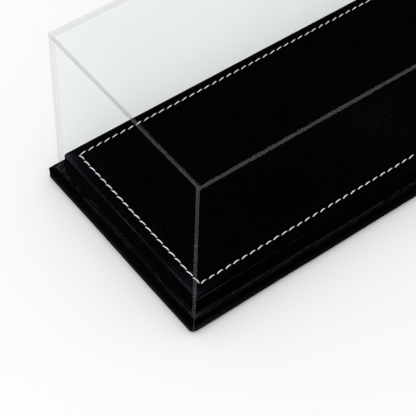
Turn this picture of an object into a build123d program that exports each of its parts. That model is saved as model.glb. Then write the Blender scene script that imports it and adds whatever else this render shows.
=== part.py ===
from build123d import *
import math
import os

# Acrylic display case: a suede-wrapped plinth on a wider suede-wrapped base, and a clear cover
# that drops over the plinth into a groove in the base.
# The origin is the middle of the surface the feet stand on, X along the long side, Z up.

# Plinth, measured over its suede
plinth_length = 240.0
plinth_width = 110.0

# Boards and pads
plinth_board_thickness = 12.0
base_board_thickness = 2.5
foam_thickness = 2.0
foam_edge_radius = 1.2
board_corner_radius = 0.8

# Suede cover of both boards
suede_thickness = 0.8
plinth_hem = 8.0
rim_hem = 8.0
hem_gap = 0.2

# Step of the base beyond the plinth; its edge strips stand above the board and so form the
# groove that holds the cover
ledge_width = 6.2
strip_rise = 2.7
crest_setback = 0.1
strip_fall = 0.7
strip_edge_radius = 1.2

# Decorative stitching round the top, a little longer in the long rows than in the short ones
stitch_inset = 5.5
short_row_pitch = 4.72
long_row_pitch = 4.92
stitch_gap = 0.5
thread_diameter = 0.65
stitch_rise = 0.5
stitch_shoulder = 0.55
stitch_slant = 9.0
channel_width = 2.2
channel_depth = 0.35

# Underside
lining_thickness = 0.8
lining_gap = 0.2
foot_height = 1.0
foot_diameter = 10.0
foot_inset = 17.0
foot_chamfer = 0.25

# Countersunk screws from the base board up into the plinth board
screw_length = 12.0
screw_diameter = 3.0
screw_head_diameter = 6.0
screw_point_length = 2.0
screw_inset_x = 22.0
screw_inset_y = 24.0
screws_per_row = 2
screw_rows = 2
screw_hole_gap = 0.15
recess_width = 0.7
recess_length = 3.2
recess_depth = 1.2

# Clear cover
acrylic_thickness = 2.0
cover_gap = 0.25
display_height = 80.0
panel_chamfer = 0.3

# Levels above the standing surface
lining_bottom = foot_height
base_board_bottom = lining_bottom + lining_thickness
base_board_top = base_board_bottom + base_board_thickness
groove_floor = base_board_top + suede_thickness
strip_top = base_board_top + strip_rise
plinth_board_top = base_board_top + plinth_board_thickness
foam_top = plinth_board_top + foam_thickness
plinth_top = foam_top + suede_thickness
channel_floor = plinth_top - channel_depth
cover_inside_top = plinth_top + display_height
hem_top = groove_floor + suede_thickness

# Plan sizes that follow
core_length = plinth_length - 2 * suede_thickness
core_width = plinth_width - 2 * suede_thickness
base_length = plinth_length + 2 * ledge_width
base_width = plinth_width + 2 * ledge_width
cover_inside_length = plinth_length + 2 * cover_gap
cover_inside_width = plinth_width + 2 * cover_gap
cover_length = cover_inside_length + 2 * acrylic_thickness
cover_width = cover_inside_width + 2 * acrylic_thickness

# How far the board, the crest and the outside of the edge strips stand out from the plinth
groove_width = acrylic_thickness + 2 * cover_gap
flank_angle = math.atan2(strip_rise, crest_setback)
board_reach = groove_width + suede_thickness * math.tan(flank_angle / 2)
crest_reach = board_reach + crest_setback
strip_reach = ledge_width - suede_thickness

# Stitch lines
stitch_line_length = plinth_length - 2 * stitch_inset
stitch_line_width = plinth_width - 2 * stitch_inset


def block(length, width, low, high, corner_radius=0.0):
    """A centred upright block between two levels, its four upright edges rounded."""
    outline = Rectangle(length, width)
    if corner_radius > 0:
        outline = fillet(outline.vertices(), corner_radius)
    return extrude(Pos(0, 0, low) * outline, high - low)


def rounded_top_block(length, width, low, high, corner_radius, edge_radius):
    """A block with rounded upright edges and a rounded edge round its top."""
    body = block(length, width, low, high, corner_radius)
    top_edges = body.faces().sort_by(Axis.Z)[-1].outer_wire().edges()
    return fillet(top_edges, edge_radius)


def screw_places():
    """Centres of the screws, in rows along the long side."""
    span_x = core_length - 2 * screw_inset_x
    span_y = core_width - 2 * screw_inset_y
    step_x = span_x / (screws_per_row - 1)
    step_y = span_y / (screw_rows - 1)
    return GridLocations(step_x, step_y, screws_per_row, screw_rows)


def foot_places():
    """Centres of the four feet, near the corners of the base."""
    return GridLocations(base_length - 2 * foot_inset, base_width - 2 * foot_inset, 2, 2)


def screw_outline(clearance=0.0):
    """Half section of a countersunk screw, head down, grown by a clearance."""
    shank = screw_diameter / 2 + clearance
    head = screw_head_diameter / 2 + clearance
    head_height = head - shank
    tip = base_board_bottom + screw_length
    neck = tip - screw_point_length
    with BuildLine() as half:
        Polyline(
            (0, base_board_bottom),
            (head, base_board_bottom),
            (shank, base_board_bottom + head_height),
            (shank, neck),
            (shank / 3, tip),
            (0, tip),
            close=True,
        )
    return make_face(Plane.XZ * half.line)


def make_screw():
    """One screw with a cross recess in its head."""
    body = revolve(screw_outline(), Axis.Z)
    slot = extrude(Pos(0, 0, base_board_bottom) * Rectangle(recess_length, recess_width), recess_depth)
    return body - slot - Rot(0, 0, 90) * slot


def screw_hole(low, high, clearance):
    """The space one screw takes between two levels."""
    space = revolve(screw_outline(clearance), Axis.Z)
    return space & block(2 * screw_head_diameter, 2 * screw_head_diameter, low, high)


def make_base_board():
    """Lower board, flat on both faces."""
    length = plinth_length + 2 * board_reach
    width = plinth_width + 2 * board_reach
    board = block(length, width, base_board_bottom, base_board_top)
    hole = screw_hole(base_board_bottom, base_board_top, screw_hole_gap)
    return board - [place * hole for place in screw_places()]


def make_plinth_board():
    """Upper board, rebated underneath for the hem of its suede."""
    board = block(core_length, core_width, base_board_top, plinth_board_top, board_corner_radius)
    land_reach = plinth_hem + hem_gap
    rebate = block(core_length, core_width, base_board_top, hem_top)
    rebate -= block(plinth_length - 2 * land_reach, plinth_width - 2 * land_reach, base_board_top, hem_top)
    board -= rebate
    hole = screw_hole(base_board_top, plinth_board_top, 0.0)
    return board - [place * hole for place in screw_places()]


def make_foam_pad():
    """Thin foam on the plinth board, its top edge softly rounded."""
    return rounded_top_block(
        core_length,
        core_width,
        plinth_board_top,
        foam_top,
        board_corner_radius,
        foam_edge_radius,
    )


def stitch_channel():
    """Shallow channel that the pulled stitches press into the suede."""
    outer = Rectangle(stitch_line_length + channel_width, stitch_line_width + channel_width)
    inner = Rectangle(stitch_line_length - channel_width, stitch_line_width - channel_width)
    return extrude(Pos(0, 0, channel_floor) * (outer - inner), channel_depth)


def make_plinth_suede():
    """Suede over the foam, down the plinth's sides and turned under it as a hem."""
    skin = rounded_top_block(
        plinth_length,
        plinth_width,
        groove_floor,
        plinth_top,
        board_corner_radius + suede_thickness,
        foam_edge_radius + suede_thickness,
    )
    skin -= rounded_top_block(
        core_length,
        core_width,
        hem_top,
        foam_top,
        board_corner_radius,
        foam_edge_radius,
    )
    window_length = plinth_length - 2 * plinth_hem
    window_width = plinth_width - 2 * plinth_hem
    skin -= block(window_length, window_width, groove_floor, hem_top)
    return skin - stitch_channel()


def edge_section(inside):
    """Section of an edge strip, and of the board behind it as far in as is asked."""
    points = [
        (inside, base_board_bottom),
        (strip_reach, base_board_bottom),
        (strip_reach, strip_top - strip_fall),
        (crest_reach, strip_top),
        (board_reach, base_board_top),
    ]
    if inside < board_reach:
        points.append((inside, base_board_top))
    section = make_face(Polyline(*points, close=True))
    outer_corners = section.vertices().sort_by(Axis.X)[-2:]
    return fillet(outer_corners.sort_by(Axis.Y)[-1], strip_edge_radius)


def suede_section():
    """Section of the rim suede: hem under the board, outer face, crest and groove."""
    covered = edge_section(-plinth_hem - rim_hem)
    skin = offset(covered, suede_thickness, kind=Kind.ARC) - covered
    middle = (base_board_bottom + base_board_top) / 2
    tall = strip_top - base_board_bottom
    top_width = plinth_hem + ledge_width
    hem_start = strip_reach - rim_hem
    hem_width = rim_hem + suede_thickness
    top_part = Pos(-plinth_hem + top_width / 2, middle + tall / 2) * Rectangle(top_width, tall)
    hem_part = Pos(hem_start + hem_width / 2, middle - tall / 2) * Rectangle(hem_width, tall)
    return skin & (top_part + hem_part)


def along_side(section, side_length, side_distance):
    """A section run along the front side, its ends mitred at the corners of the base."""
    run = extrude(Plane.YZ * mirror(section, Plane.YZ), side_length / 2, both=True)
    half = side_length / 2
    reach = ledge_width + plinth_hem + rim_hem
    mitre = Polyline(
        (-half, -ledge_width),
        (half, -ledge_width),
        (half - reach, -ledge_width + reach),
        (-half + reach, -ledge_width + reach),
        close=True,
    )
    run &= extrude(make_face(mitre), strip_top + 2 * suede_thickness)
    return Pos(0, -side_distance, 0) * run


def make_lining():
    """Felt lining inside the rim's hem, under the base board."""
    reach = strip_reach - rim_hem - lining_gap
    length = plinth_length + 2 * reach
    width = plinth_width + 2 * reach
    return block(length, width, lining_bottom, base_board_bottom)


def make_feet():
    """Four rubber discs under the corners."""
    disc = extrude(Circle(foot_diameter / 2), foot_height)
    disc = chamfer(disc.edges().group_by(Axis.Z)[0], foot_chamfer)
    return [place * disc for place in foot_places()]


def make_stitch(pitch):
    """One stitch: an arched length of thread that dives into the suede at both ends."""
    half = (pitch - stitch_gap) / 2
    shoulder = half * stitch_shoulder
    side = Polyline((-half, 0), (-shoulder, stitch_rise), (shoulder, stitch_rise), (half, 0), close=True)
    return extrude(Plane.XZ * make_face(side), thread_diameter / 2, both=True)


def make_stitch_row(line_length, line_distance, wanted_pitch):
    """A row of slanted stitches along one side, seated on the floor of the channel."""
    count = round(line_length / wanted_pitch)
    pitch = line_length / count
    stitch = Rot(0, 0, stitch_slant) * make_stitch(pitch)
    places = [(index + 0.5) * pitch - line_length / 2 for index in range(count)]
    return [Pos(x, -line_distance, channel_floor) * stitch for x in places]


def make_side_panel(length, distance):
    """An upright acrylic panel that stands in the groove, its inner face given."""
    height = cover_inside_top - groove_floor
    panel = Box(length, acrylic_thickness, height)
    panel = Pos(0, -distance - acrylic_thickness / 2, groove_floor + height / 2) * panel
    lower_edges = panel.faces().sort_by(Axis.Z)[0].edges().filter_by(Axis.X)
    return chamfer(lower_edges, panel_chamfer)


def make_top_panel():
    """The acrylic top, bonded on the four side panels."""
    top = block(cover_length, cover_width, cover_inside_top, cover_inside_top + acrylic_thickness)
    upper_edges = top.faces().sort_by(Axis.Z)[-1].outer_wire().edges()
    return chamfer(upper_edges, panel_chamfer)


def turned(shape, angle):
    """A shape, or each of a group, turned about the middle of the case."""
    if isinstance(shape, list):
        return [Rot(0, 0, angle) * piece for piece in shape]
    return Rot(0, 0, angle) * shape


def write_part(name, shape):
    """Write one node, a single solid or a group of separate solids."""
    if isinstance(shape, list):
        shape = Compound([solid for piece in shape for solid in piece.solids()])
    export_step(shape, f"parts/{name}.step")


parts = {
    "base_board": make_base_board(),
    "plinth_board": make_plinth_board(),
    "foam_pad": make_foam_pad(),
    "plinth_suede": make_plinth_suede(),
    "bottom_lining": make_lining(),
    "feet": make_feet(),
    "wood_screws": [place * make_screw() for place in screw_places()],
    "cover_top_panel": make_top_panel(),
}
# Each side is made as the front side and turned by quarter turns; every other side is a long one
for quarter, side in enumerate(("front", "right", "back", "left")):
    angle = 90 * quarter
    if quarter % 2 == 0:
        side_size = (base_length, plinth_width / 2)
        row = make_stitch_row(stitch_line_length, stitch_line_width / 2, long_row_pitch)
        panel = make_side_panel(cover_length, cover_inside_width / 2)
    else:
        side_size = (base_width, plinth_length / 2)
        row = make_stitch_row(stitch_line_width, stitch_line_length / 2, short_row_pitch)
        panel = make_side_panel(cover_inside_width, cover_inside_length / 2)
    edge_strip = along_side(edge_section(board_reach), *side_size)
    rim_suede = along_side(suede_section(), *side_size)
    parts[f"edge_strip_{side}"] = turned(edge_strip, angle)
    parts[f"rim_suede_{side}"] = turned(rim_suede, angle)
    parts[f"stitches_{side}"] = turned(row, angle)
    parts[f"cover_{side}_panel"] = turned(panel, angle)

os.makedirs("parts", exist_ok=True)
for name, shape in parts.items():
    write_part(name, shape)
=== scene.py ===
import math
import random

import bmesh
import bpy
import numpy as np
from mathutils import Matrix, Vector
from mathutils.geometry import delaunay_2d_cdt


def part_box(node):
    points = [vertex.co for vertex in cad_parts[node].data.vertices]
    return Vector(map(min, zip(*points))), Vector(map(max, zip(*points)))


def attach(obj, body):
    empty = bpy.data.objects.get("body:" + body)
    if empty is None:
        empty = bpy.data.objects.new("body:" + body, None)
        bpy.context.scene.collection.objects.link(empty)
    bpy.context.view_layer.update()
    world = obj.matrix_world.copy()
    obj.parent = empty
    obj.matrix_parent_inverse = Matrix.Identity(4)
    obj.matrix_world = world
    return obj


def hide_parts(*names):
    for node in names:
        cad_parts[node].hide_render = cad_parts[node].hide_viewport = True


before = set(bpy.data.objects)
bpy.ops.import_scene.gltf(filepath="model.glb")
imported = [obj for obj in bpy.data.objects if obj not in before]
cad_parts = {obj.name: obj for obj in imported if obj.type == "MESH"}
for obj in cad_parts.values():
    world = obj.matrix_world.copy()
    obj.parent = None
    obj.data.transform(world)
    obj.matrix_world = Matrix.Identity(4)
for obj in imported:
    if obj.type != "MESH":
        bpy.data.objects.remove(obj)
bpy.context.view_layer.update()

MM = 0.001

# Sizes read from the frame, in millimetres


def box_mm(node):
    """Lowest and highest corner of a CAD node, in millimetres."""
    low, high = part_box(node)
    return np.array(low) / MM, np.array(high) / MM


(_, _, groove_floor), (half_length, half_width, plinth_top) = box_mm("plinth_suede")
(_, _, board_bottom), (board_end, _, board_top) = box_mm("base_board")
(_, _, hem_bottom), (rim_end, _, _) = box_mm("rim_suede_front")
_, (strip_end, _, strip_top) = box_mm("edge_strip_front")
_, (_, _, foam_top) = box_mm("foam_pad")
suede_thickness = plinth_top - foam_top

# How far the rim, the base board and the edge strips reach beyond the plinth's wall
board_reach = board_end - half_length
strip_reach = strip_end - half_length

# Construction sizes that the frame's boxes don't give
plinth_hem = 8.0
rim_hem = 8.0
edge_radius = 2.0
corner_radius = 1.1
strip_fall = 0.7
strip_edge_radius = 1.2
foot_radius = 0.4
stitch_inset = 5.5
short_row_pitch = 4.72
long_row_pitch = 4.92
channel_pull = 0.3
channel_reach = 0.85
panel_bevel = 0.28

# How the thread lies: its slant to the row, how deep the row sits in its channel, how far each
# stitch's ends dive below that and the length of one twist, and how finely it is meshed
long_slant = math.radians(11.0)
short_slant = math.radians(8.0)
row_depth = 0.32
end_dive = 0.42
twist_length = 2.6
strand_count = 3
points_per_strand = 5
thread_steps = 22

# For the front, right, back and left row: the gap between stitches, the thread's radius, and
# how far the row strays outwards from its line
row_gaps = (0.35, 0.0, 0.5, 0.0)
row_threads = (0.265, 0.295, 0.25, 0.295)
row_strays = (0.4, -0.25, -0.05, -0.15)

stitch_length = 2 * (half_length - stitch_inset)
stitch_width = 2 * (half_width - stitch_inset)
long_count = round(stitch_length / long_row_pitch)
short_count = round(stitch_width / short_row_pitch)
side_names = ("front", "right", "back", "left")

# Places of mesh points, in millimetres from a corner of the plinth and from a mitre of the rim
corner_places = [0.0, 0.12, 0.26, 0.42, 0.6, 0.82, 1.1, 1.45, 1.9, 2.6]
mitre_places = [0.0, 0.1, 0.22, 0.36, 0.52, 0.72, 1.0, 1.35, 1.8, 2.4]
samples_per_stitch = 8
rim_sample = 0.55
fill_step = 6.0

# Mesh building


def new_piece(name, points_mm, faces, material, body="base", replaced=(), smooth=True):
    """A mesh object from points in millimetres, riding on a body."""
    mesh = bpy.data.meshes.new(name)
    mesh.from_pydata([tuple(p) for p in np.asarray(points_mm) * MM], [], faces)
    mesh.validate()
    if smooth:
        mesh.polygons.foreach_set("use_smooth", [True] * len(mesh.polygons))
    piece = bpy.data.objects.new(name, mesh)
    bpy.context.collection.objects.link(piece)
    piece.data.materials.append(material)
    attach(piece, body)
    if replaced:
        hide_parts(*replaced)
    return piece


def set_value(piece, name, values):
    """Keep one number per vertex under a name that the materials read."""
    layer = piece.data.attributes.new(name, "FLOAT", "POINT")
    layer.data.foreach_set("value", np.asarray(values, dtype=np.float32))


def outward_normals(piece, welded=False):
    """Make a closed mesh's faces look outwards; welded also joins vertices that lie in one place."""
    work = bmesh.new()
    work.from_mesh(piece.data)
    if welded:
        bmesh.ops.remove_doubles(work, verts=work.verts, dist=1e-7)
    bmesh.ops.recalc_face_normals(work, faces=work.faces)
    work.to_mesh(piece.data)
    work.free()


def side_fractions(count, length):
    """Places along a side, from corner to corner: close together at the corners, then per stitch."""
    pitch = length / count
    steps = count * samples_per_stitch
    along = [pitch * k / samples_per_stitch for k in range(steps + 1)]
    margin = corner_places[-1] + 0.2
    inner = [a for a in along if margin < a < length - margin]
    ends = corner_places + inner + [length - a for a in reversed(corner_places)]
    return np.array(ends) / length


fractions = [
    side_fractions(long_count, stitch_length),
    side_fractions(short_count, stitch_width),
] * 2


def turned_to_side(x, y, side):
    """A place on the front side turned about the middle to the same place on another side."""
    turn = side * math.pi / 2
    c, s = round(math.cos(turn)), round(math.sin(turn))
    return x * c - y * s, x * s + y * c


def ring(reach, radius):
    """Points round a rectangle that stands reach beyond the plinth's wall, its corners rounded.

    Returns their places in plan, and for each the side it is on and the fraction along it."""
    points, sides, places = [], [], []
    for side in range(4):
        along_half, out_half = half_length + reach, half_width + reach
        if side % 2 == 1:
            along_half, out_half = out_half, along_half
        for fraction in fractions[side][:-1]:
            x = -along_half + 2 * along_half * fraction
            y = -out_half
            near = min(x + along_half, along_half - x)
            if near < radius:
                lean = (1 - near / radius) * math.pi / 4
                towards = -1 if x < 0 else 1
                x = towards * (along_half - radius + radius * math.sin(lean))
                y = -(out_half - radius + radius * math.cos(lean))
            points.append(turned_to_side(x, y, side))
            sides.append(side)
            places.append(fraction)
    return np.array(points), np.array(sides), np.array(places)


def flat_fill(outline, height):
    """Triangles that fill an outline at one height, with a loose grid of points inside."""
    low, high = outline.min(0), outline.max(0)
    xs = np.arange(low[0] + fill_step, high[0] - fill_step / 2, fill_step)
    ys = np.arange(low[1] + fill_step, high[1] - fill_step / 2, fill_step)
    inner = [Vector((x, y)) for x in xs for y in ys]
    rim = [Vector(p) for p in outline]
    count = len(rim)
    edges = [(i, (i + 1) % count) for i in range(count)]
    verts, _, faces, *_ = delaunay_2d_cdt(rim + inner, edges, [], 1, 1e-5)
    return np.array([(v.x, v.y, height) for v in verts]), faces


def band_faces(start, rows, count):
    """Quads between rows of equally many points, each row closed into a ring."""
    faces = []
    for row in range(rows - 1):
        first = start + row * count
        second = first + count
        for i in range(count):
            j = (i + 1) % count
            faces.append((first + i, second + i, second + j, first + j))
    return faces


def tube_faces(start, rows, count):
    """The faces of a closed tube: its bands and both its ends."""
    last = start + (rows - 1) * count
    faces = band_faces(start, rows, count)
    faces.append(tuple(start + k for k in range(count)))
    faces.append(tuple(last + k for k in reversed(range(count))))
    return faces


def closed_stack(levels):
    """A closed skin through outlines with equally many points, each with its height or heights.

    The first and the last outline are filled."""
    points = []
    count = len(levels[0][0])
    for plan, heights in levels:
        points.extend((x, y, z) for (x, y), z in zip(plan, np.broadcast_to(heights, count)))
    faces = band_faces(0, len(levels), count)
    for plan, heights in (levels[0], levels[-1]):
        fill, triangles = flat_fill(plan, np.max(heights))
        offset = len(points)
        points.extend(fill)
        faces.extend(tuple(offset + k for k in triangle) for triangle in triangles)
    return points, faces


def ragged(places, sides, seed, waves):
    """A slow unevenness along each side, from a few seeded waves, between -1 and 1."""
    chance = random.Random(seed)
    total = np.zeros(len(places))
    for side in range(4):
        on_side = sides == side
        for wave in range(waves):
            turns = chance.uniform(1.5, 9.0) * (1 + wave)
            shift = chance.uniform(0, 2 * math.pi)
            total[on_side] += np.sin(2 * math.pi * turns * places[on_side] + shift) / (1 + wave)
    return total / np.abs(total).max()


# Materials


def new_material(name):
    """A node material, with its tree and its surface shader."""
    material = bpy.data.materials.new(name)
    material.use_nodes = True
    tree = material.node_tree
    return material, tree, tree.nodes["Principled BSDF"]


def node(tree, kind, **settings):
    """A node with its settings and the default values of its named inputs."""
    made = tree.nodes.new(kind)
    inputs = settings.pop("inputs", {})
    for key, value in settings.items():
        setattr(made, key, value)
    for key, value in inputs.items():
        made.inputs[key].default_value = value
    return made


def noise(tree, scale, detail, roughness, stretch=(1, 1, 1)):
    """Noise in the object's own space, its scale in cells per metre."""
    place = node(tree, "ShaderNodeTexCoord")
    mapping = node(tree, "ShaderNodeMapping", inputs={"Scale": stretch})
    texture = node(
        tree,
        "ShaderNodeTexNoise",
        inputs={"Scale": scale, "Detail": detail, "Roughness": roughness},
    )
    tree.links.new(place.outputs["Object"], mapping.inputs["Vector"])
    tree.links.new(mapping.outputs["Vector"], texture.inputs["Vector"])
    return texture.outputs["Fac"]


def spread(tree, value, low, high, to_low=0.0, to_high=1.0):
    """A value mapped from one range to another, and kept inside it."""
    mapped = node(
        tree,
        "ShaderNodeMapRange",
        inputs={"From Min": low, "From Max": high, "To Min": to_low, "To Max": to_high},
    )
    tree.links.new(value, mapped.inputs["Value"])
    return mapped.outputs["Result"]


def combine(tree, operation, first, second):
    """Two values, or a value and a number, put together."""
    made = node(tree, "ShaderNodeMath", operation=operation)
    for socket, value in zip(made.inputs, (first, second)):
        if isinstance(value, (int, float)):
            socket.default_value = value
        else:
            tree.links.new(value, socket)
    return made.outputs["Value"]


def mixed_colour(tree, factor, first, second):
    """A colour between two, by a value."""
    made = node(tree, "ShaderNodeMix", data_type="RGBA")
    tree.links.new(factor, made.inputs["Factor"])
    for socket, value in ((made.inputs["A"], first), (made.inputs["B"], second)):
        if isinstance(value, tuple):
            socket.default_value = (*value, 1.0)
        else:
            tree.links.new(value, socket)
    return made.outputs["Result"]


def bump(tree, height, shader, distance, strength):
    """Relief in millimetres from a value."""
    made = node(
        tree,
        "ShaderNodeBump",
        inputs={"Distance": distance * MM, "Strength": strength},
    )
    tree.links.new(height, made.inputs["Height"])
    tree.links.new(made.outputs["Normal"], shader.inputs["Normal"])


def weighted(tree, first, share, second, rest):
    """Two values added by their shares."""
    first = combine(tree, "MULTIPLY", first, share)
    return combine(tree, "ADD", first, combine(tree, "MULTIPLY", second, rest))


def paint(tree, shader, factor, first, second):
    """Colour a shader between two colours, by a value."""
    tree.links.new(mixed_colour(tree, factor, first, second), shader.inputs["Base Color"])


def attribute(tree, name):
    """The number per vertex kept under a name."""
    return node(tree, "ShaderNodeAttribute", attribute_name=name).outputs["Fac"]


def suede_material():
    """Black nap: nearly no light comes back; its tone holds painted light, and edges show paler, ragged
    fibres that are partly wear and partly a painted highlight.
    """
    material, tree, shader = new_material("black_suede")
    shader.inputs["Roughness"].default_value = 1.0
    shader.inputs["Specular IOR Level"].default_value = 0.0
    shader.inputs["Sheen Weight"].default_value = 0.003
    shader.inputs["Sheen Roughness"].default_value = 0.5
    shader.inputs["Sheen Tint"].default_value = (0.85, 0.85, 1.0, 1.0)
    # Wear with a painted highlight on edges and crests, and the nap's tone with painted light and shade
    wear_and_highlight = attribute(tree, "wear_and_highlight")
    nap_tone_and_painted_light = attribute(tree, "nap_tone_and_painted_light")
    across = attribute(tree, "across")
    grain = spread(tree, noise(tree, 850, 3, 0.65), 0.33, 0.67)
    clouds = spread(tree, noise(tree, 55, 3, 0.55), 0.35, 0.65)
    # Nap tone with painted light: paler end walls, paler groove and paler outer foot
    tone_and_painted_light = combine(tree, "ADD", nap_tone_and_painted_light, spread(tree, clouds, 0.0, 1.0, -0.05, 0.05))
    flecks = spread(tree, combine(tree, "POWER", grain, 2.5), 0.0, 1.0, 0.2, 3.0)
    tone = combine(tree, "MULTIPLY", tone_and_painted_light, flecks)
    ground = mixed_colour(tree, tone, (0.00035, 0.00034, 0.0005), (0.0040, 0.00398, 0.0054))
    fibres_x = spread(tree, noise(tree, 900, 3, 0.7, (1.7, 0.6, 1.0)), 0.35, 0.65)
    fibres_y = spread(tree, noise(tree, 900, 3, 0.7, (0.6, 1.7, 1.0)), 0.35, 0.65)
    fibres = node(tree, "ShaderNodeMix", data_type="FLOAT")
    tree.links.new(across, fibres.inputs["Factor"])
    tree.links.new(fibres_x, fibres.inputs["A"])
    tree.links.new(fibres_y, fibres.inputs["B"])
    tufts = spread(tree, fibres.outputs["Result"], 0.0, 1.0, 0.15, 1.85)
    wear_and_highlight_fibres = combine(tree, "MULTIPLY", wear_and_highlight, tufts)
    # Paler, ragged fibres where the suede is worn and where a highlight is painted
    paint(tree, shader, wear_and_highlight_fibres, ground, (0.048, 0.047, 0.058))
    relief = combine(tree, "ADD", combine(tree, "MULTIPLY", grain, 0.6), wear_and_highlight_fibres)
    bump(tree, relief, shader, 0.12, 0.6)
    return material


def thread_material():
    """White twisted thread with faint shade between its strands."""
    material, tree, shader = new_material("white_thread")
    shader.inputs["Roughness"].default_value = 0.62
    shader.inputs["Specular IOR Level"].default_value = 0.3
    shader.inputs["Sheen Weight"].default_value = 0.1
    strand = attribute(tree, "strand")
    hairs = spread(tree, noise(tree, 5200, 3, 0.7), 0.35, 0.7)
    lit = weighted(tree, strand, 0.7, hairs, 0.3)
    paint(tree, shader, lit, (0.74, 0.71, 0.79), (1.0, 0.98, 1.0))
    bump(tree, hairs, shader, 0.04, 0.5)
    return material


def clear_face_material():
    """The faces of clear cast sheet: they take very little light away, a little more where wiped."""
    material, tree, shader = new_material("clear_acrylic")
    smears = spread(tree, noise(tree, 25, 3, 0.6), 0.3, 0.7)
    passed = mixed_colour(tree, smears, (0.966, 0.972, 0.974), (0.979, 0.983, 0.984))
    clear = node(tree, "ShaderNodeBsdfTransparent")
    tree.links.new(passed, clear.inputs["Color"])
    tree.links.new(clear.outputs["BSDF"], tree.nodes["Material Output"].inputs["Surface"])
    tree.nodes.remove(shader)
    return material


def clear_edge_material():
    """The polished edges of the sheet: a painted grey, partly see-through, stands in for the light they
    bend and reflect, so they look denser than its faces.
    """
    material, tree, shader = new_material("polished_edge")
    shader.inputs["Base Color"].default_value = (0.15, 0.16, 0.165, 1.0)
    shader.inputs["IOR"].default_value = 1.49
    shader.inputs["Specular IOR Level"].default_value = 0.1
    shader.inputs["Alpha"].default_value = 0.15
    ripple = spread(tree, noise(tree, 25, 2, 0.5), 0.3, 0.7, 0.3, 0.5)
    tree.links.new(ripple, shader.inputs["Roughness"])
    return material


def board_material(name, dark, pale, grain):
    """Bare board: pressed fibres, or a planed grain that runs along it."""
    material, tree, shader = new_material(name)
    shader.inputs["Roughness"].default_value = 0.85
    fibres = spread(tree, noise(tree, 700, 5, 0.7, grain), 0.3, 0.7)
    patches = spread(tree, noise(tree, 40, 2, 0.5), 0.3, 0.7)
    paint(tree, shader, weighted(tree, fibres, 0.7, patches, 0.3), dark, pale)
    bump(tree, fibres, shader, 0.05, 0.5)
    return material


def felt_material():
    """Black felt: matted fibres in every direction."""
    material, tree, shader = new_material("black_felt")
    shader.inputs["Roughness"].default_value = 1.0
    shader.inputs["Specular IOR Level"].default_value = 0.05
    shader.inputs["Sheen Weight"].default_value = 0.08
    mats = spread(tree, noise(tree, 1100, 6, 0.75), 0.32, 0.7)
    paint(tree, shader, mats, (0.004, 0.004, 0.005), (0.022, 0.022, 0.025))
    bump(tree, mats, shader, 0.15, 0.8)
    return material


def foam_material():
    """Fine dark foam with open cells."""
    material, tree, shader = new_material("dark_foam")
    shader.inputs["Roughness"].default_value = 0.95
    cells = node(tree, "ShaderNodeTexVoronoi", inputs={"Scale": 1400.0})
    place = node(tree, "ShaderNodeTexCoord")
    tree.links.new(place.outputs["Object"], cells.inputs["Vector"])
    wall = spread(tree, cells.outputs["Distance"], 0.1, 0.6)
    paint(tree, shader, wall, (0.03, 0.03, 0.033), (0.1, 0.1, 0.11))
    bump(tree, wall, shader, 0.2, 0.7)
    return material


def rubber_material():
    """Matte black rubber with a faint dusty bloom."""
    material, tree, shader = new_material("foot_rubber")
    dust = spread(tree, noise(tree, 500, 5, 0.7), 0.35, 0.75)
    paint(tree, shader, dust, (0.018, 0.018, 0.019), (0.04, 0.04, 0.042))
    tree.links.new(spread(tree, dust, 0.0, 1.0, 0.55, 0.8), shader.inputs["Roughness"])
    bump(tree, dust, shader, 0.03, 0.4)
    return material


def screw_material():
    """Zinc plate with fine turning marks."""
    material, tree, shader = new_material("zinc_plate")
    shader.inputs["Metallic"].default_value = 1.0
    marks = spread(tree, noise(tree, 900, 4, 0.6, (1, 1, 5)), 0.3, 0.7)
    paint(tree, shader, marks, (0.5, 0.47, 0.38), (0.72, 0.7, 0.62))
    tree.links.new(spread(tree, marks, 0.0, 1.0, 0.25, 0.42), shader.inputs["Roughness"])
    bump(tree, marks, shader, 0.02, 0.4)
    return material


suede = suede_material()
thread = thread_material()
felt = felt_material()
clear_face = clear_face_material()
clear_edge = clear_edge_material()

node_materials = {
    "base_board": board_material("fibreboard", (0.30, 0.20, 0.12), (0.56, 0.42, 0.27), (1, 1, 1)),
    "foam_pad": foam_material(),
    "feet": rubber_material(),
    "wood_screws": screw_material(),
}
node_materials["plinth_board"] = node_materials["base_board"]
strip_wood = (
    board_material("planed_strip_long", (0.42, 0.27, 0.14), (0.68, 0.5, 0.3), (0.08, 1, 1)),
    board_material("planed_strip_short", (0.42, 0.27, 0.14), (0.68, 0.5, 0.3), (1, 0.08, 1)),
)
for side in range(4):
    node_materials[f"edge_strip_{side_names[side]}"] = strip_wood[side % 2]
for name, material in node_materials.items():
    cad_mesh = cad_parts[name].data
    cad_mesh.materials.clear()
    cad_mesh.materials.append(material)

# Suede over the plinth

# Outline radius of the rings inside the top's edge, and of the hem
top_ring_radius = 1.0
hem_ring_radius = 0.4

# The innermost ring of the top, the rings across it out to its edge, and those down the wall
top_inset = 9.5
top_insets = [top_inset, 8.3, 7.5, 7.0, 6.6, 6.3, 6.05, 5.8, 5.5, 5.2, 4.95, 4.7, 4.4, 4.0]
top_insets += [3.5, 3.0, 2.6, 2.3]
wall_depths = [0.15, 0.3, 0.45, 0.65, 0.9, 1.3, 1.9, 2.8, 4.0, 5.4, 6.8, 8.0, 9.0, 9.8, 10.3, 10.7]
wall_depths += [11.0, 11.3]


def bell(place, centre, before, after):
    """1 at a centre, falling away over one width before it and another after it."""
    width = before if place < centre else after
    return math.exp(-(((place - centre) / width) ** 2))


def channel_depth(reach, places, sides):
    """How far the stitches pull the suede down, deepest where the thread goes in."""
    across = math.exp(-(((reach + stitch_inset) / channel_reach) ** 2))
    counts = np.where(sides % 2 == 0, long_count, short_count)
    pulled = 0.7 + 0.3 * np.cos(2 * math.pi * places * counts)
    return channel_pull * across * pulled


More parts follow.
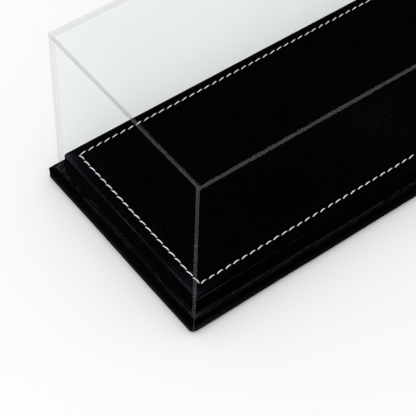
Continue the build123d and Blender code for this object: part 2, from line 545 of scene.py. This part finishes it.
def plinth_rows():
    """Outside of the plinth's suede from the middle of its top to its turned-under hem.

    Each row: reach beyond the wall, height, corner radius, and the wear with its painted highlight on a
    short and a long side."""
    rows = []
    for inset in top_insets:
        rows.append((-inset, plinth_top, top_ring_radius, 0.0, 0.0))
    steps = 16
    quarter = edge_radius * math.pi / 2
    for step in range(steps + 1):
        angle = step / steps * math.pi / 2
        reach = -edge_radius + edge_radius * math.sin(angle)
        height = plinth_top - edge_radius + edge_radius * math.cos(angle)
        rows.append((reach, height, corner_radius, *edge_wear_and_highlight(edge_radius * angle)))
    wall_top, wall_foot = plinth_top - edge_radius, groove_floor + foot_radius
    for depth in wall_depths:
        lip = 0.1 * bell(depth, 0.2, 1.0, 1.2)
        # A pale line at the wall's foot: wear with a painted highlight
        foot = bell(wall_top - depth - groove_floor, 0.35, 0.3, 0.5)
        short, long = edge_wear_and_highlight(quarter + depth)
        rows.append((lip, wall_top - depth, corner_radius, short + 0.25 * foot, long + 1.2 * foot))
    for step in range(0, 5):
        angle = step / 4 * math.pi / 2
        reach = -foot_radius + foot_radius * math.cos(angle)
        height = wall_foot - foot_radius * math.sin(angle)
        foot = bell(height - groove_floor, 0.35, 0.3, 0.5)
        rows.append((reach, height, corner_radius, 0.25 * foot, 1.2 * foot))
    return rows


def edge_wear_and_highlight(along):
    """Wear and a painted highlight on a short and a long side by the way from the top's edge, over the
    rounding and down.
    """
    return bell(along, 2.5, 0.66, 0.28), bell(along, 3.9, 0.3, 0.22)


def corner_distance(points):
    """How far each point is from the nearest upright edge of the plinth, in plan."""
    gap_x, gap_y = half_length - np.abs(points[:, 0]), half_width - np.abs(points[:, 1])
    return np.maximum(gap_x, gap_y)


def side_share(points):
    """1 on the long sides and 0 on the short ones, changing softly round the corners."""
    gap_x, gap_y = half_length - np.abs(points[:, 0]), half_width - np.abs(points[:, 1])
    return np.clip((gap_x - gap_y) / 4.0 + 0.5, 0, 1)


def inner_rows():
    """Inside of the plinth's suede from its hem back to the middle of its top.

    Each row: reach beyond the wall, height and corner radius."""
    hem_inside = groove_floor + suede_thickness
    inner_radius = corner_radius - suede_thickness
    rows = [
        (-plinth_hem, groove_floor, hem_ring_radius),
        (-plinth_hem, hem_inside, hem_ring_radius),
        (-suede_thickness, hem_inside, inner_radius),
        (-suede_thickness, plinth_top - edge_radius, inner_radius),
    ]
    steps = 4
    bend = edge_radius - suede_thickness
    for step in range(1, steps + 1):
        angle = math.pi / 2 * (1 - step / steps)
        reach = -edge_radius + bend * math.sin(angle)
        rows.append((reach, plinth_top - edge_radius + bend * math.cos(angle), inner_radius))
    rows.append((-top_inset, plinth_top - suede_thickness, hem_ring_radius))
    return rows


def plinth_wear_and_highlight(row, plan, long_share):
    """Wear and painted highlight round one ring: along the wall, more towards the corners, and the corners'
    fuzz.
    """
    reach, height, _, short_wear_and_highlight, long_wear_and_highlight = row
    from_corner = corner_distance(plan)
    near, wide = np.exp(-from_corner / 18.0), np.exp(-from_corner / 25.0)
    ring_wear_and_highlight = long_share * long_wear_and_highlight * (0.14 + 0.9 * wide)
    ring_wear_and_highlight += (1 - long_share) * short_wear_and_highlight * (0.25 + 0.2 * near)
    inwards = max(0.0, -reach - edge_radius * 0.4)
    over_edge = max(0.0, reach + edge_radius * 0.4)
    # Fuzz at the corners, with a painted highlight
    corner_fuzz_and_highlight = (0.5 - 0.34 * long_share) * np.exp(-from_corner / 6.0) * math.exp(-inwards / 1.8)
    corner_fuzz_and_highlight = corner_fuzz_and_highlight * math.exp(-over_edge / 0.4) * (height > plinth_top - 1.4)
    return ring_wear_and_highlight + corner_fuzz_and_highlight


def make_plinth_suede():
    """A closed skin: outside, turned-under hem, and the inside that lies on foam and board."""
    outline, sides, places = ring(0, 1)
    waver = 0.07 * ragged(places, sides, 11, 5)
    patchy = 0.9 * np.exp(0.8 * ragged(places, sides, 23, 7))
    long_share = side_share(outline)
    levels, wear_and_highlight = [], []
    for row in plinth_rows():
        reach, height, radius, _, _ = row
        plan = ring(reach, radius)[0]
        is_wavy = reach > -1.0 and height <= plinth_top - 0.05
        heights = height - channel_depth(reach, places, sides) + (waver if is_wavy else 0.0)
        levels.append((plan, heights))
        wear_and_highlight.extend(plinth_wear_and_highlight(row, plan, long_share) * patchy)
    for reach, height, radius in inner_rows():
        levels.append((ring(reach, radius)[0], height))
    points, faces = closed_stack(levels)
    wear_and_highlight.extend([0.0] * (len(points) - len(wear_and_highlight)))
    piece = new_piece(
        "suede_plinth_wrap",
        points,
        faces,
        suede,
        replaced=["plinth_suede"],
    )
    # Wear with a painted highlight along the top's edge, the wall's foot and the corners
    set_value(piece, "wear_and_highlight", wear_and_highlight)
    outward_normals(piece, welded=True)
    finish_suede(piece)
    declare_plinth_sheet()


def declare_plinth_sheet():
    """The plinth's suede is one rectangle with a square cut out at each corner, pulled over the foam."""
    up_the_wall = plinth_top - groove_floor - edge_radius * (2 - math.pi / 2)
    turned_down = up_the_wall + plinth_hem
    width, length = 2 * (half_width + turned_down), 2 * (half_length + turned_down)
    width, length = width - suede_thickness, length - suede_thickness


def top_tone(x, y):
    """Tone of the top: paler at the left end, by the back-left corner and in one patch, darker in another
    patch and a little towards the front edge.
    """
    left_end = math.exp(-(x + half_length) / 12.0)
    corner = math.exp(-math.hypot(x + half_length, y - half_width) / 20.0)
    dark = math.exp(-(((x + 45.0) / 22.0) ** 2 + ((y + 27.0) / 16.0) ** 2))
    pale = math.exp(-(((x - 22.0) / 24.0) ** 2 + ((y + 18.0) / 22.0) ** 2))
    front_dim = math.exp(-(y + half_width) / 10.0)
    return 0.24 + 0.25 * left_end + 0.2 * corner - 0.1 * dark + 0.27 * pale - 0.03 * front_dim


def finish_suede(piece):
    """Tone of the top, and painted light on the walls: the end walls paler than the long ones and paler
    towards the back, and every wall painted paler towards the groove against the shade there.
    """
    nap_tone_and_painted_light, across = [], []
    for vertex in piece.data.vertices:
        x, y, z = vertex.co / MM
        up = max(0.0, vertex.normal.z)
        low = min(1.0, max(0.0, 1.0 - (z - groove_floor) / (plinth_top - groove_floor)))
        # Painted light: end walls paler than long walls, and all walls paler low down against the groove's
        # shade
        wall_x = (0.26 + 0.35 * low + 0.75 * low**7) * (1 + 0.6 * y / half_width)
        wall_y = 0.06 + 0.03 * low + 0.25 * low**7
        facing_x, facing_y = abs(vertex.normal.x), abs(vertex.normal.y)
        wall = wall_x * facing_x + wall_y * facing_y
        from_top = up**0.4
        nap_tone_and_painted_light.append(top_tone(x, y) * from_top + wall * (1 - from_top))
        across.append(1.0 - side_share(np.array([(x, y)]))[0])
    set_value(piece, "nap_tone_and_painted_light", nap_tone_and_painted_light)
    set_value(piece, "across", across)


make_plinth_suede()

# Felt lining and foam


def make_lining():
    """Felt glued flat under the base board, its cut edge softly rounded."""
    low, high = box_mm("bottom_lining")
    reach, bottom, top = high[0] - half_length, low[2], high[2]
    levels = []
    for inset, height in ((0.3, bottom), (0.12, bottom + 0.08), (0.0, bottom + 0.3), (0.0, top)):
        levels.append((ring(reach - inset, 0.8)[0], height))
    points, faces = closed_stack(levels)
    piece = new_piece(
        "felt_lining",
        points,
        faces,
        felt,
        replaced=["bottom_lining"],
    )
    outward_normals(piece, welded=True)


make_lining()

# Suede over the edge strips


def turned_path(corners, radii, steps):
    """A line through corners, each rounded by its radius, as points."""
    path = []
    for index, (corner, radius) in enumerate(zip(corners, radii)):
        corner = Vector(corner)
        if radius == 0 or index in (0, len(corners) - 1):
            path.append(tuple(corner))
            continue
        back = (Vector(corners[index - 1]) - corner).normalized()
        ahead = (Vector(corners[index + 1]) - corner).normalized()
        half = back.angle(ahead) / 2
        reach = radius / math.tan(half)
        centre = corner + (back + ahead).normalized() * radius / math.sin(half)
        start, end = corner + back * reach - centre, corner + ahead * reach - centre
        sweep = start.angle(end)
        sign = 1 if start.x * end.y - start.y * end.x > 0 else -1
        for step in range(steps + 1):
            turn = Matrix.Rotation(sign * sweep * step / steps, 2)
            path.append(tuple(centre + turn @ start))
    return path


def moved_out(corners, distance):
    """The corners of a line moved sideways, to its left, by a distance."""
    lines = []
    for first, second in zip(corners, corners[1:]):
        along = (Vector(second) - Vector(first)).normalized()
        side = Vector((-along.y, along.x)) * distance
        lines.append((Vector(first) + side, along))
    moved = [tuple(lines[0][0])]
    for (place, along), (other, beyond) in zip(lines, lines[1:]):
        cross = along.x * beyond.y - along.y * beyond.x
        gap = other - place
        moved.append(tuple(place + along * ((gap.x * beyond.y - gap.y * beyond.x) / cross)))
    last = lines[-1][1]
    moved.append(tuple(Vector(corners[-1]) + Vector((-last.y, last.x)) * distance))
    return moved


crest_reach = board_reach - suede_thickness
covered = [
    (-plinth_hem, board_top),
    (board_reach, board_top),
    (board_reach + 0.02, strip_top),
    (strip_reach, strip_top - strip_fall),
    (strip_reach, board_bottom),
    (strip_reach - rim_hem, board_bottom),
]
inside_path = turned_path(covered, [0, 0.02, 0.02, strip_edge_radius, 0.05, 0], 5)
outside_path = turned_path(
    moved_out(covered, suede_thickness),
    [0, 0.3, 0.5, strip_edge_radius + suede_thickness, suede_thickness, 0],
    9,
)


def dense(path, longest):
    """A path with more points where its runs are long."""
    points = [path[0]]
    for first, second in zip(path, path[1:]):
        first, second = Vector(first), Vector(second)
        parts = max(1, math.ceil((second - first).length / longest))
        points.extend(tuple(first.lerp(second, k / parts)) for k in range(1, parts + 1))
    return points


def rim_wear_and_highlight(reach, height, is_long):
    """Wear and painted highlight over the section: along the crest, in a fringe beyond it, and a painted
    rim highlight up the outer face's foot.
    """
    outwards = reach - crest_reach
    high = height > strip_top - 0.3
    low = height - hem_bottom
    if is_long:
        crest, fringe = bell(outwards, 0.45, 0.6, 1.05), 0.0
        foot = max(0.0, 1 - low / 6.0) ** 1.2
    else:
        crest, fringe = bell(outwards, 0.35, 0.5, 0.55), bell(outwards, 0.9, 0.6, 0.9)
        foot = math.exp(-((low / 2.05) ** 2))
    return crest * high, fringe * high, foot * (reach > strip_reach - 0.6)


def path_sizes(path):
    """How long a line of points is, and how far out its middle lies."""
    runs = [(Vector(a), Vector(b)) for a, b in zip(path, path[1:])]
    length = sum((b - a).length for a, b in runs)
    return length, sum((b - a).length * (a.x + b.x) / 2 for a, b in runs) / length


def declare_rim_sheet(side, half_along):
    """A rim strip is cut as wide as its way round the edge strip, its ends mitred."""
    outer_width, mean_reach = path_sizes(outside_path)
    inner_width, _ = path_sizes(inside_path)


def rim_stations(span):
    """Places along a rim strip from mitre to mitre, as shares of its length."""
    margin = mitre_places[-1] + 0.5
    middle = np.linspace(margin, span - margin, int(span / rim_sample))
    far_end = [span - a for a in reversed(mitre_places)]
    return np.array(mitre_places + list(middle) + far_end) / span


def pulled(reach, height, crest, is_long, pinch, slow, drift):
    """Where a point of a strip's outside really lies: pinched at a mitre, flared at the foot."""
    high = (height - hem_bottom) / (strip_top + suede_thickness - hem_bottom)
    turned = min(1.0, max(0.0, (reach - strip_reach) / 0.8 + 1.5))
    reach = reach - pinch * min(0.66, 0.1 + 0.75 * (1 - high)) * turned
    if reach > strip_reach:
        flare = -0.2 if is_long else 0.08 + 0.55 * (1 - high) ** 1.5 * (1 - pinch)
        reach += flare - 0.05 + 0.045 * drift * (1 - high)
    return reach, height - (pinch * 0.14 * high + 0.05 * slow * crest)


def rim_value(reach, height, from_end, section_wear_and_highlight, is_long, patch, tears):
    """How much wear and painted highlight a point has, by its place over the section and its way from the
    mitre.
    """
    crest, fringe, foot = section_wear_and_highlight
    frayed, wide = math.exp(-from_end / 12.0), math.exp(-from_end / 22.0)
    seam_width = 0.22 + 0.28 * max(0.0, 1 - (height - hem_bottom) / 5.0)
    seam = 0.75 * math.exp(-((from_end / seam_width) ** 2)) * (reach > board_reach)
    # Bunched suede on the groove floor by the mitre, painted paler against the groove's shade
    bunched_and_painted_light = 0.8 * math.exp(-((from_end / 2.2) ** 2)) * (0.1 < reach < board_reach)
    # Crest terms: wear with a painted highlight; foot terms: a painted rim highlight up the outer face
    if is_long:
        value = (0.1 + 0.05 * frayed) * crest * patch + (0.09 + 0.3 * wide) * foot
    else:
        value = (0.2 + 0.1 * frayed) * crest * patch + 0.48 * foot * (0.8 + 0.2 * patch)
        value += (0.05 + 0.24 * frayed) * fringe * tears
    return value + seam + bunched_and_painted_light


def make_rim_suede(side):
    """One mitred strip of suede over an edge strip, as a closed skin."""
    is_long = side % 2 == 0
    name = side_names[side]
    half_along, half_out = (half_length, half_width) if is_long else (half_width, half_length)
    outer = dense(outside_path, 0.4)
    section = outer + list(reversed(dense(inside_path, 0.9)))
    span = 2 * half_along
    stations = rim_stations(span)
    chance = random.Random(40 + side)
    shifts = [chance.uniform(0, 6.28) for _ in range(10)]
    points, wear_and_highlight = [], []
    for fraction in stations:
        way = fraction * span
        from_end = min(fraction, 1 - fraction) * span
        pinch = math.exp(-((from_end / 1.3) ** 2))
        slow = sum(math.sin(way / (1.3 + 2.3 * k) + shifts[k]) / (k + 1.5) for k in range(6))
        drift = math.sin(way / 17.0 + shifts[7]) + math.sin(way / 9.0 + shifts[8])
        patch = min(1.9, max(0.3, 1.0 + 0.45 * slow))
        tears = max(0.0, math.sin(way / 5.3 + shifts[6]) + 0.6 * slow)
        for index, (reach, height) in enumerate(section):
            outside = index < len(outer)
            section_wear_and_highlight = rim_wear_and_highlight(reach, height, is_long)
            z = height
            if outside and reach > board_reach - 0.3:
                reach, z = pulled(reach, height, section_wear_and_highlight[0], is_long, pinch, slow, drift)
            points.append((-half_along - reach + fraction * 2 * (half_along + reach), -half_out - reach, z))
            value = rim_value(reach, height, from_end, section_wear_and_highlight, is_long, patch, tears)
            wear_and_highlight.append(value * outside)
    faces = tube_faces(0, len(stations), len(section))
    points = [(*turned_to_side(x, y, side), z) for x, y, z in points]
    piece = new_piece(
        f"suede_rim_{name}",
        points,
        faces,
        suede,
        replaced=[f"rim_suede_{name}"],
    )
    outward_normals(piece)
    # Wear with painted highlights on the crest and up the outer face's foot
    set_value(piece, "wear_and_highlight", wear_and_highlight)
    finish_suede_rim(piece)
    declare_rim_sheet(side, half_along)


def finish_suede_rim(piece):
    """Tone of the ledge, with painted light: paler in the groove against its shade, darker just outside the
    crest, paler towards the outer face's foot as a painted rim highlight, and paler on the short sides than
    the long ones.
    """
    nap_tone_and_painted_light, across = [], []
    for vertex in piece.data.vertices:
        x, y, z = vertex.co / MM
        gap_x, gap_y = half_length - abs(x), half_width - abs(y)
        short_side = gap_x < gap_y
        reach = -min(gap_x, gap_y)
        climb = max(0.0, 1 - (z - hem_bottom) / (strip_top - hem_bottom))
        # Painted light: the groove paler against its shade, the short sides paler, the outer face paler
        # towards its foot
        if reach < crest_reach + 0.1:
            pale = 0.85 if short_side else 0.25
        elif short_side:
            pale = 0.28 + 0.12 * climb
        else:
            pale = 0.045 + 0.2 * climb
        nap_tone_and_painted_light.append(pale)
        across.append(1.0 if short_side else 0.0)
    set_value(piece, "nap_tone_and_painted_light", nap_tone_and_painted_light)
    set_value(piece, "across", across)


for side in range(4):
    make_rim_suede(side)

# Stitches


def thread_rings(chance, length, radius):
    """Centre line and thickness of one stitch, which dives into the suede at both ends."""
    rise = 0.42 + chance.uniform(-0.07, 0.07)
    bow = 0.2 + chance.uniform(-0.08, 0.08)
    for step in range(thread_steps + 1):
        t = step / thread_steps
        x = (t - 0.5) * length
        arch = math.sin(math.pi * t) ** 0.6
        z = -end_dive + (end_dive + rise) * arch
        y = bow * (math.sin(math.pi * t) - 0.6)
        thick = radius * (0.58 + 0.5 * math.sin(math.pi * t**0.8) ** 0.7 - 0.12 * t)
        yield t, x, y, z, thick


def add_stitch(points, faces, strands, place, angle, length, thread_size, chance):
    """One stitch of twisted strands, laid along a direction."""
    length = length + chance.uniform(-0.2, 0.2)
    around = points_per_strand * strand_count
    twist = 2 * math.pi * length / twist_length
    phase = chance.uniform(0, 2 * math.pi)
    lean = angle + chance.uniform(-0.05, 0.05)
    c, s = math.cos(lean), math.sin(lean)
    start = len(points)
    for t, x, y, z, thick in thread_rings(chance, length, thread_size):
        for k in range(around):
            theta = 2 * math.pi * k / around
            lobe = abs(math.cos((theta * strand_count + phase + twist * t * strand_count) / 2))
            radius = thick * (0.80 + 0.24 * lobe)
            out, up = y + radius * math.cos(theta), radius * math.sin(theta)
            points.append((place[0] + x * c - out * s, place[1] + x * s + out * c, place[2] + z + up))
            strands.append(lobe)
    faces.extend(tube_faces(start, thread_steps + 1, around))


def make_stitch_row(side):
    """The stitches of one side."""
    is_long = side % 2 == 0
    name = side_names[side]
    count = long_count if is_long else short_count
    length = stitch_length if is_long else stitch_width
    out = (stitch_width if is_long else stitch_length) / 2
    slant = long_slant if is_long else short_slant
    lean = side * math.pi / 2 + slant
    pitch = length / count
    run = pitch - row_gaps[side]
    chance = random.Random(300 + side)
    points, faces, strands = [], [], []
    for index in range(count):
        x, y = (index + 0.5) * pitch - length / 2, -out - row_strays[side]
        x += chance.uniform(-0.12, 0.12)
        y += chance.uniform(-0.09, 0.09)
        place = (*turned_to_side(x, y, side), plinth_top - row_depth)
        add_stitch(points, faces, strands, place, lean, run, row_threads[side], chance)
    piece = new_piece(
        f"thread_{name}",
        points,
        faces,
        thread,
        replaced=[f"stitches_{name}"],
    )
    set_value(piece, "strand", strands)
    outward_normals(piece)


for side in range(4):
    make_stitch_row(side)

# Acrylic cover


def make_panel(node_name):
    """A clear panel with its narrow faces and bevels in the polished edge's finish."""
    low, high = box_mm(node_name)
    size = high - low
    thin = int(np.argmin(size))
    work = bmesh.new()
    bmesh.ops.create_cube(work, size=1.0)
    for vertex in work.verts:
        vertex.co = Vector(low + (np.array(vertex.co) + 0.5) * size)
    bmesh.ops.bevel(
        work,
        geom=list(work.edges),
        offset=panel_bevel,
        segments=3,
        profile=0.5,
        affect="EDGES",
    )
    work.verts.ensure_lookup_table()
    points = [tuple(v.co) for v in work.verts]
    faces = [tuple(v.index for v in f.verts) for f in work.faces]
    on_face = [abs(f.normal[thin]) > 0.999 for f in work.faces]
    work.free()
    piece = new_piece(
        "clear_" + node_name,
        points,
        faces,
        clear_face,
        body="cover",
        replaced=[node_name],
        smooth=False,
    )
    piece.data.materials.append(clear_edge)
    for polygon, is_face in zip(piece.data.polygons, on_face):
        polygon.material_index = 0 if is_face else 1


for side in ("top", "front", "right", "back", "left"):
    make_panel(f"cover_{side}_panel")

# Floor, light and camera, in metres, and the lamp's power in watts

floor_reach = 4.0
lamp_place = Vector((-0.9, -0.1, 1.1))
lamp_size = 1.2
lamp_power = 3.0
camera_place = Vector((-366.8, -362.6, 563.2)) * MM
camera_heading = math.radians(50.73)
camera_drop = math.radians(50.55)
camera_roll = math.radians(2.38)
camera_lens = 125.5


def make_floor():
    """A wide white floor that keeps the case's shadow."""
    mesh = bpy.data.meshes.new("floor")
    corners = [(x * floor_reach, y * floor_reach, 0) for x, y in ((-1, -1), (1, -1), (1, 1), (-1, 1))]
    mesh.from_pydata(corners, [], [(0, 1, 2, 3)])
    floor = bpy.data.objects.new("floor", mesh)
    bpy.context.collection.objects.link(floor)
    material, tree, shader = new_material("white_floor")
    shader.inputs["Base Color"].default_value = (0.97, 0.97, 0.97, 1.0)
    shader.inputs["Roughness"].default_value = 1.0
    shader.inputs["Specular IOR Level"].default_value = 0.0
    mesh.materials.append(material)


def make_light():
    """A pale room and one large soft lamp over the case's left side."""
    world = bpy.data.worlds.new("studio")
    bpy.context.scene.world = world
    world.use_nodes = True
    tree = world.node_tree
    background = tree.nodes["Background"]
    background.inputs["Color"].default_value = (1.0, 1.0, 1.0, 1.0)
    rays = node(tree, "ShaderNodeLightPath")
    seen = combine(tree, "MAXIMUM", rays.outputs["Is Camera Ray"], rays.outputs["Is Glossy Ray"])
    seen = combine(tree, "MAXIMUM", seen, rays.outputs["Is Transmission Ray"])
    strength = spread(tree, seen, 0.0, 1.0, 0.9, 1.0)
    tree.links.new(strength, background.inputs["Strength"])
    lamp = bpy.data.lights.new("soft_box", "AREA")
    lamp.shape = "DISK"
    lamp.size = lamp_size
    lamp.energy = lamp_power
    holder = bpy.data.objects.new("soft_box", lamp)
    bpy.context.collection.objects.link(holder)
    holder.location = lamp_place
    holder.rotation_euler = (-lamp_place).to_track_quat("-Z", "Y").to_euler()


def make_camera():
    """The photograph's view: from above the near corner, looking along both sides."""
    camera = bpy.data.cameras.new("camera")
    camera.lens = camera_lens
    camera.clip_start = 0.01
    holder = bpy.data.objects.new("camera", camera)
    bpy.context.collection.objects.link(holder)
    ahead = Vector(
        (
            math.cos(camera_drop) * math.cos(camera_heading),
            math.cos(camera_drop) * math.sin(camera_heading),
            -math.sin(camera_drop),
        )
    )
    right = ahead.cross(Vector((0, 0, 1))).normalized()
    up = right.cross(ahead)
    tilt = Matrix.Rotation(-camera_roll, 3, ahead)
    right, up = tilt @ right, tilt @ up
    turn = Matrix((right, up, -ahead)).transposed().to_4x4()
    holder.matrix_world = Matrix.Translation(camera_place) @ turn
    bpy.context.scene.camera = holder


make_floor()
make_light()
make_camera()

bpy.context.scene.view_settings.view_transform = "Standard"

bpy.context.view_layer.update()
